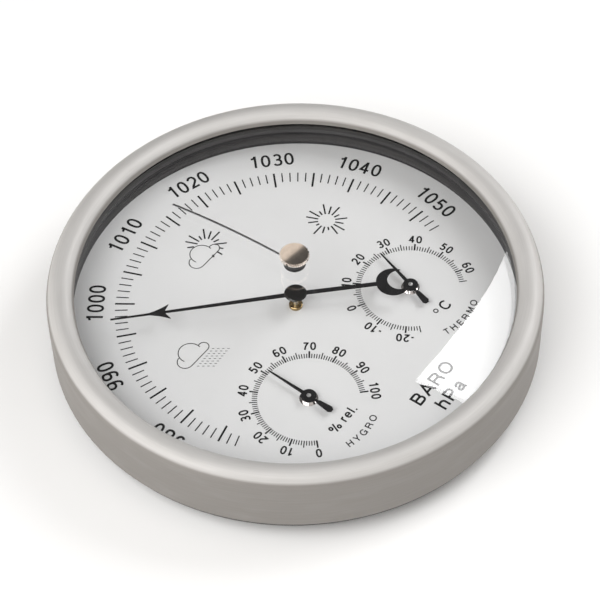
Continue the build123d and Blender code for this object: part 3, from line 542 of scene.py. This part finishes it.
# Heights between which the painted shade on the side wall fades into the lip's tone.
WALL_TOP = 23.1 * MM      # over the back of the case
LIP_BOTTOM = 23.8 * MM


def brushed_steel():
    """Satin steel, brushed round the case; its side wall is darkened by painted shade below the paler
    rolled lip.
    """
    # Painted shade: the side wall's darker tone stands for light it misses, on the same steel as the
    # lip.
    shaded_wall = (0.29, 0.275, 0.26)
    lip = (0.58, 0.57, 0.56)
    finish = Finish("brushed_case", lip, Metallic=0.6, Roughness=0.7, Anisotropic=0.3)
    tangent = finish.add("ShaderNodeTangent", direction_type="RADIAL", axis="Z")
    finish.feed("Tangent", tangent.outputs[0])
    lines = finish.turned(3500, 4, detail=3)
    patches = finish.turned(260, 5, detail=2)
    height = finish.add("ShaderNodeSeparateXYZ")
    finish.link(finish.place, height.inputs[0])
    # Tone darkens by height from the lip down to the wall: painted shade.
    rise = finish.spread(height.outputs["Z"], 0.3, 0.66, WALL_TOP, LIP_BOTTOM)
    finish.mottle(finish.maths("ADD", rise, finish.spread(patches, -0.03, 0.03)), shaded_wall, lip)
    finish.feed("Roughness", finish.spread(lines, 0.62, 0.78))
    finish.bump(lines, 0.012)
    return finish.material


def window_glass():
    """Thin clear glass: it mirrors by its angle and lets the rest straight through."""
    finish = Finish("glass", (1, 1, 1), Metallic=1.0, Roughness=0.015)
    facing = finish.add("ShaderNodeLayerWeight")
    facing.inputs["Blend"].default_value = 0.5
    head_on = 0.043       # the share that one face mirrors head on
    grazing = finish.maths("POWER", facing.outputs["Facing"], 5)
    mirror = finish.maths("MULTIPLY_ADD", grazing, 1 - head_on)
    mirror.node.inputs[2].default_value = head_on
    finish.feed("Alpha", mirror)
    return finish.material


def moulded(name, colour, roughness, grain=6000, depth=0.01):
    """Plastic or rubber, as it comes from its mould."""
    finish = Finish(name, colour, Roughness=roughness)
    fine = finish.noise(grain, 3)
    finish.mottle(finish.noise(150, 3), shade(colour, 0.9), shade(colour, 1.1))
    finish.feed("Roughness", finish.spread(fine, roughness - 0.05, roughness + 0.08))
    finish.bump(fine, depth)
    return finish.material


def spacer_plastic():
    """Satin black plastic with uneven rings, as a bent strip has."""
    finish = Finish("dark_plastic", (0.024, 0.023, 0.025), Roughness=0.3, Specular_IOR_Level=0.25)
    bands = finish.turned(900, 0.6, detail=1)
    finish.mottle(bands, (0.016, 0.015, 0.017), (0.034, 0.033, 0.035))
    finish.feed("Roughness", finish.spread(bands, 0.22, 0.4))
    finish.bump(bands, 0.02)
    return finish.material


def dial_lacquer():
    """The dial's even white, with a very fine grain."""
    white = (0.72, 0.725, 0.73)
    finish = Finish("dial_white", white, Roughness=0.42)
    fine = finish.noise(5000, 2)
    finish.mottle(finish.noise(60, 2), shade(white, 0.985), shade(white, 1.01))
    finish.feed("Roughness", finish.spread(fine, 0.38, 0.5))
    finish.bump(fine, 0.002)
    return finish.material


def metal(name, colour, roughness, stretch=(1, 1, 1), tone=0.08):
    """A worked metal, with fine marks and slightly uneven colour."""
    finish = Finish(name, colour, Metallic=1.0, Roughness=roughness)
    marks = finish.noise(4000, 3, stretch)
    finish.mottle(finish.noise(500, 2, stretch), shade(colour, 1 - tone), shade(colour, 1 + tone / 2))
    finish.feed("Roughness", finish.spread(marks, roughness * 0.75, roughness * 1.3))
    finish.bump(marks, 0.004)
    return finish.material


def turned_metal(name, colour, roughness, centre=(0, 0)):
    """Metal with lathe marks."""
    finish = Finish(name, colour, Metallic=1.0, Roughness=roughness)
    rings = finish.turned(6000, 1.5, centre, detail=2)
    finish.mottle(finish.turned(900, 1.2, centre), shade(colour, 0.9), shade(colour, 1.05))
    finish.feed("Roughness", finish.spread(rings, roughness * 0.7, roughness * 1.3))
    finish.bump(rings, 0.006)
    return finish.material


def polished(name, colour, roughness):
    """A mirror-bright metal face."""
    finish = Finish(name, colour, Metallic=1.0, Roughness=roughness)
    finish.mottle(finish.turned(900, 1.2), shade(colour, 0.93), shade(colour, 1.04))
    return finish.material


def paint(name, colour, roughness, specular=0.5):
    """Thin paint or ink on a flat part."""
    finish = Finish(name, colour, Roughness=roughness, Specular_IOR_Level=specular)
    speckle = finish.noise(7000, 2)
    finish.mottle(finish.noise(400, 2), shade(colour, 0.8), shade(colour, 1.25))
    finish.feed("Roughness", finish.spread(speckle, roughness - 0.06, roughness + 0.1))
    finish.bump(speckle, 0.003)
    return finish.material


STEEL = (0.60, 0.60, 0.61)
BRASS = (0.80, 0.62, 0.30)
CAPSULE = (-19.09, 19.09)     # the capsule's centre on the dial
FINISHES = {
    "brushed_case": brushed_steel(),
    "glass": window_glass(),
    "rubber": moulded("rubber", (0.012, 0.012, 0.013), 0.55),
    "dark_plastic": spacer_plastic(),
    "dial_white": dial_lacquer(),
    "cover_plastic": moulded("cover_plastic", (0.018, 0.018, 0.019), 0.45, grain=3500, depth=0.03),
    "screw_steel": metal("screw_steel", (0.66, 0.66, 0.66), 0.42),
    "screw_brass": metal("screw_brass", BRASS, 0.26),
    # Brass hue, darkened far below its own tone as painted shade for the dark room it mirrors.
    "bush_brass": turned_metal("bush_brass", (0.36, 0.26, 0.13), 0.13),
    "plate_brass": metal("plate_brass", BRASS, 0.34, stretch=(1, 0.06, 1)),
    "plate_steel": metal("plate_steel", STEEL, 0.36, stretch=(0.06, 1, 1)),
    "spring_steel": metal("spring_steel", (0.42, 0.42, 0.46), 0.24),
    "capsule_nickel": turned_metal("capsule_nickel", (0.70, 0.68, 0.62), 0.3, centre=CAPSULE),
    "hand_black": paint("hand_black", (0.010, 0.010, 0.011), 0.5, specular=0.15),
    "cap_black": paint("cap_black", (0.006, 0.006, 0.006), 0.12),
    "bush_chrome": metal("bush_chrome", (0.86, 0.83, 0.82), 0.12),
    "knob_nickel": polished("knob_nickel", (0.78, 0.71, 0.65), 0.03),
    "set_hand_steel": metal("set_hand_steel", (0.52, 0.52, 0.53), 0.3, stretch=(1, 0.05, 1)),
    "coil_bimetal": metal("coil_bimetal", (0.62, 0.50, 0.40), 0.3),
    "coil_hygro": metal("coil_hygro", (0.66, 0.58, 0.36), 0.4),
}


def dress_cad():
    """Gives every CAD node the finish of its material slot."""
    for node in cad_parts.values():
        for slot in node.material_slots:
            slot.material = FINISHES[slot.material.name]


# ---------------------------------------------------------------- studio
TARGET = Vector((7.017, -1.504, 15.0)) * MM
AZIMUTH = -52.907
ELEVATION = 50.231
DISTANCE = 577.09 * MM
ROLL = -0.98
LENS = 128.55
SHIFT = (-0.02628, -0.02235)


def towards(azimuth, elevation):
    """The way to a place round the object. Azimuth 0 is -Y and 90 is +X."""
    around = math.radians(azimuth)
    up = math.radians(elevation)
    return Vector((math.sin(around) * math.cos(up), -math.cos(around) * math.cos(up), math.sin(up)))


def add_camera():
    data = bpy.data.cameras.new("camera")
    data.lens = LENS
    data.shift_x, data.shift_y = SHIFT
    data.clip_start = 0.01
    data.clip_end = 20
    camera = bpy.data.objects.new("camera", data)
    bpy.context.scene.collection.objects.link(camera)
    back = towards(AZIMUTH, ELEVATION)
    look = (-back).to_track_quat("-Z", "Y").to_matrix().to_4x4()
    roll = Matrix.Rotation(math.radians(ROLL), 4, "Z")
    camera.matrix_world = Matrix.Translation(TARGET + back * DISTANCE) @ look @ roll
    bpy.context.scene.camera = camera


def add_level_panel(name, on_edge, edge, length, depth, radiance, colour=(1, 1, 1)):
    """A level light whose near edge runs through a point, turned by an angle in degrees."""
    turn = math.radians(edge)
    inward = Vector((math.sin(turn), -math.cos(turn), 0))
    data = bpy.data.lights.new(name, "AREA")
    data.shape = "RECTANGLE"
    data.size = length
    data.size_y = abs(depth)
    data.energy = radiance * math.pi * length * abs(depth)
    data.color = colour
    panel = bpy.data.objects.new(name, data)
    bpy.context.scene.collection.objects.link(panel)
    panel.matrix_world = Matrix.Translation(on_edge + inward * depth / 2) @ Matrix.Rotation(turn, 4, "Z")


LIGHTS_UP = 0.60          # every light's height over the floor
SOFTBOX_CORNER = Vector((0.268, -0.071))
SOFTBOX_FAR = 1.30
SOFTBOX_BACK = -0.60
SOFTBOX_STRENGTH = 5.6


def add_softbox():
    """The key light: a level sheet with a bowed front edge and a slanted left end."""
    steps = 10
    outline = []
    for i in range(steps + 1):
        along = (SOFTBOX_FAR - SOFTBOX_CORNER.x) * i / steps
        bow = 0.04 * along + 0.19 * along**2
        outline.append((SOFTBOX_CORNER.x + along, SOFTBOX_CORNER.y + bow, LIGHTS_UP))
    slant = 0.41 * (SOFTBOX_CORNER.y - SOFTBOX_BACK)
    outline.append((SOFTBOX_FAR, SOFTBOX_BACK, LIGHTS_UP))
    outline.append((SOFTBOX_CORNER.x + slant, SOFTBOX_BACK, LIGHTS_UP))
    mesh = bpy.data.meshes.new("softbox")
    mesh.from_pydata(outline, [], [tuple(range(len(outline)))])
    softbox = bpy.data.objects.new("softbox", mesh)
    bpy.context.scene.collection.objects.link(softbox)
    cloth = Finish("softbox_cloth", (0, 0, 0), Roughness=1.0, Emission_Strength=SOFTBOX_STRENGTH)
    cloth.set("Emission Color", (1, 1, 1, 1))
    mesh.materials.append(cloth.material)


def add_lights():
    """The key light over the right-hand side, a fill on the left and a warm card for the knob."""
    add_softbox()
    add_level_panel("fill", Vector((-0.55, -0.25, LIGHTS_UP)), 0, 0.7, -0.7, 3.3)
    cream = (1, 0.90, 0.80)
    add_level_panel("warm_card", Vector((0.383, 0.2993, LIGHTS_UP)), -7.6, 0.034, -0.017, 0.8, cream)


def add_surroundings():
    """A room that is dark where the glass mirrors it and pale low on the left."""
    world = bpy.data.worlds.new("studio")
    world.use_nodes = True
    nodes = world.node_tree.nodes
    links = world.node_tree.links
    background = nodes["Background"]
    background.inputs["Color"].default_value = (1, 0.97, 0.93, 1)
    place = nodes.new("ShaderNodeTexCoord")

    def lobe(way, start, end, low, high):
        """Strength that goes from low to high towards a direction."""
        facing = nodes.new("ShaderNodeVectorMath")
        facing.operation = "DOT_PRODUCT"
        facing.inputs[1].default_value = Vector(way).normalized()
        links.new(place.outputs["Generated"], facing.inputs[0])
        strength = nodes.new("ShaderNodeMapRange")
        set_range(strength, start, end, low, high)
        links.new(facing.outputs["Value"], strength.inputs["Value"])
        return strength.outputs["Result"]

    both = nodes.new("ShaderNodeMath")
    both.operation = "ADD"
    mirrored_way = (0.55, 0.45, 0.70)
    low_left = (-0.7, 0.3, -0.6)
    links.new(lobe(mirrored_way, 0.3, 0.85, 0.63, 0.10), both.inputs[0])
    links.new(lobe(low_left, 0.0, 0.8, 0.0, 1.5), both.inputs[1])
    links.new(both.outputs[0], background.inputs["Strength"])
    bpy.context.scene.world = world


FLOOR_HALF = 3.0


def add_floor():
    """A plain pale floor, level with the back of the case."""
    corners = [(x * FLOOR_HALF, y * FLOOR_HALF, 0) for x, y in ((-1, -1), (1, -1), (1, 1), (-1, 1))]
    mesh = bpy.data.meshes.new("floor")
    mesh.from_pydata(corners, [], [(0, 1, 2, 3)])
    floor = bpy.data.objects.new("floor", mesh)
    bpy.context.scene.collection.objects.link(floor)
    paper = Finish("floor_paper", (0.9, 0.9, 0.9), Roughness=0.9)
    mesh.materials.append(paper.material)


# ---------------------------------------------------------------- assembly
bpy.context.scene.view_settings.view_transform = "Standard"
dress_cad()
printings = [pressure_ticks(), pressure_figures(), words(), weather_symbols()]
printings += small_scale("thermometer", THERMO, range(-25, 66), 20, THERMO_STEP)
printings += small_scale("hygrometer", HYGRO, range(0, 101), 50, HYGRO_STEP)
for printing in printings:
    printing.make(FINISHES["hand_black"])
add_camera()
add_lights()
add_surroundings()
add_floor()
